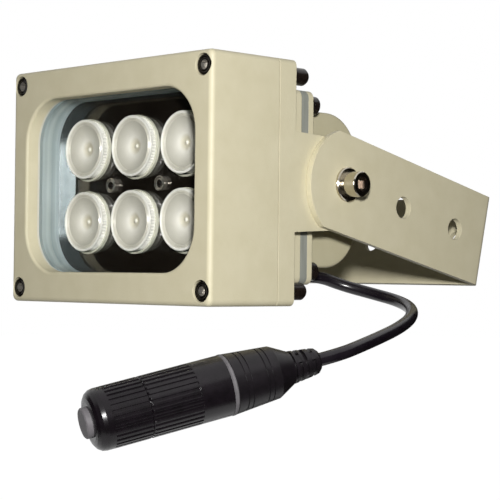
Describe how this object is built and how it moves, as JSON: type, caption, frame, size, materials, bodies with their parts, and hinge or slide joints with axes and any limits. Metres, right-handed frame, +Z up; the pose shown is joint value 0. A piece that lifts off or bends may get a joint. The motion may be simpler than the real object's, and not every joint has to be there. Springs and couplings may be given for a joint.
{
  "type": "infrared illuminator",
  "caption": "Infrared illuminator: cast lamp head with a rounded window over dished lenses, tilting on a U-shaped wall bracket, with a short cord and a round waterproof connector.",
  "frame": {"origin": "centre of the bracket's middle wall hole, on the face that lies against the wall", "axes": "+X to the lamp's right as seen from its front, +Y from the lamp's face towards the wall, +Z up with the lamp level; the bracket slopes 13 degrees down towards the wall"},
  "size_m": [0.1698, 0.2202, 0.1355],
  "materials": {
    "casting": "satin",
    "bracket_steel": "satin",
    "dark_rubber": "matte",
    "black_rubber": "satin",
    "grey_rubber": "matte",
    "window": "polished",
    "retainer": "satin",
    "black_board": "gloss",
    "bare_aluminium": "satin",
    "green_board": "gloss",
    "black_plastic": "satin",
    "lens": "gloss",
    "holder": "gloss",
    "emitter": "gloss",
    "stainless": "polished",
    "black_steel": "satin",
    "brass_pins": "polished"
  },
  "bodies": {
    "bracket": {"bracket": "bracket_steel"},
    "lamp": {"front_housing": "casting", "rear_cover": "casting", "pod_cover": "casting", "seam_gasket": "dark_rubber", "window_seal": "black_rubber", "cable_grommet": "black_rubber", "power_cord": "black_rubber", "rear_gasket": "grey_rubber", "sealing_ring": "grey_rubber", "sealing_plug": "grey_rubber", "window_glass": "window", "glass_retainer": "retainer", "led_board": "black_board", "heat_spreader": "bare_aluminium", "driver_standoffs": "bare_aluminium", "driver_board": "green_board", "driver_parts": "black_plastic", "led_lens_1": "lens", "lens_holder_1": "holder", "led_emitter_1": "emitter", "led_lens_2": "lens", "lens_holder_2": "holder", "led_emitter_2": "emitter", "led_lens_3": "lens", "lens_holder_3": "holder", "led_emitter_3": "emitter", "led_lens_4": "lens", "lens_holder_4": "holder", "led_emitter_4": "emitter", "led_lens_5": "lens", "lens_holder_5": "holder", "led_emitter_5": "emitter", "led_lens_6": "lens", "lens_holder_6": "holder", "led_emitter_6": "emitter", "board_screws": "stainless", "pivot_washer_left": "stainless", "pivot_washer_right": "stainless", "pivot_bolt_left": "stainless", "pivot_bolt_right": "stainless", "front_screws": "black_steel", "pod_screws": "black_steel", "cap_nuts": "black_steel", "socket_body": "black_plastic", "plug_body": "black_plastic", "contact_pins": "brass_pins"},
    "coupling_ring": {"coupling_ring": "black_plastic"},
    "clamp_nut": {"clamp_nut": "black_plastic"}
  },
  "joints": [
    {"name": "lamp_tilt", "type": "hinge", "parent": "bracket", "child": "lamp", "pos_m": [0, -0.08477, 0.01957], "axis": [1, 0, 0], "range_deg": [-70, 20]},
    {"name": "coupling_ring_turn", "type": "hinge", "parent": "lamp", "child": "coupling_ring", "pos_m": [0.07798, -0.18201, -0.05418], "axis": [-0.3872, -0.8917, -0.2346], "range_deg": [0, 90]},
    {"name": "clamp_nut_turn", "type": "hinge", "parent": "lamp", "child": "clamp_nut", "pos_m": [0.06858, -0.20367, -0.05989], "axis": [-0.3872, -0.8917, -0.2346], "range_deg": [0, 360]}
  ]
}
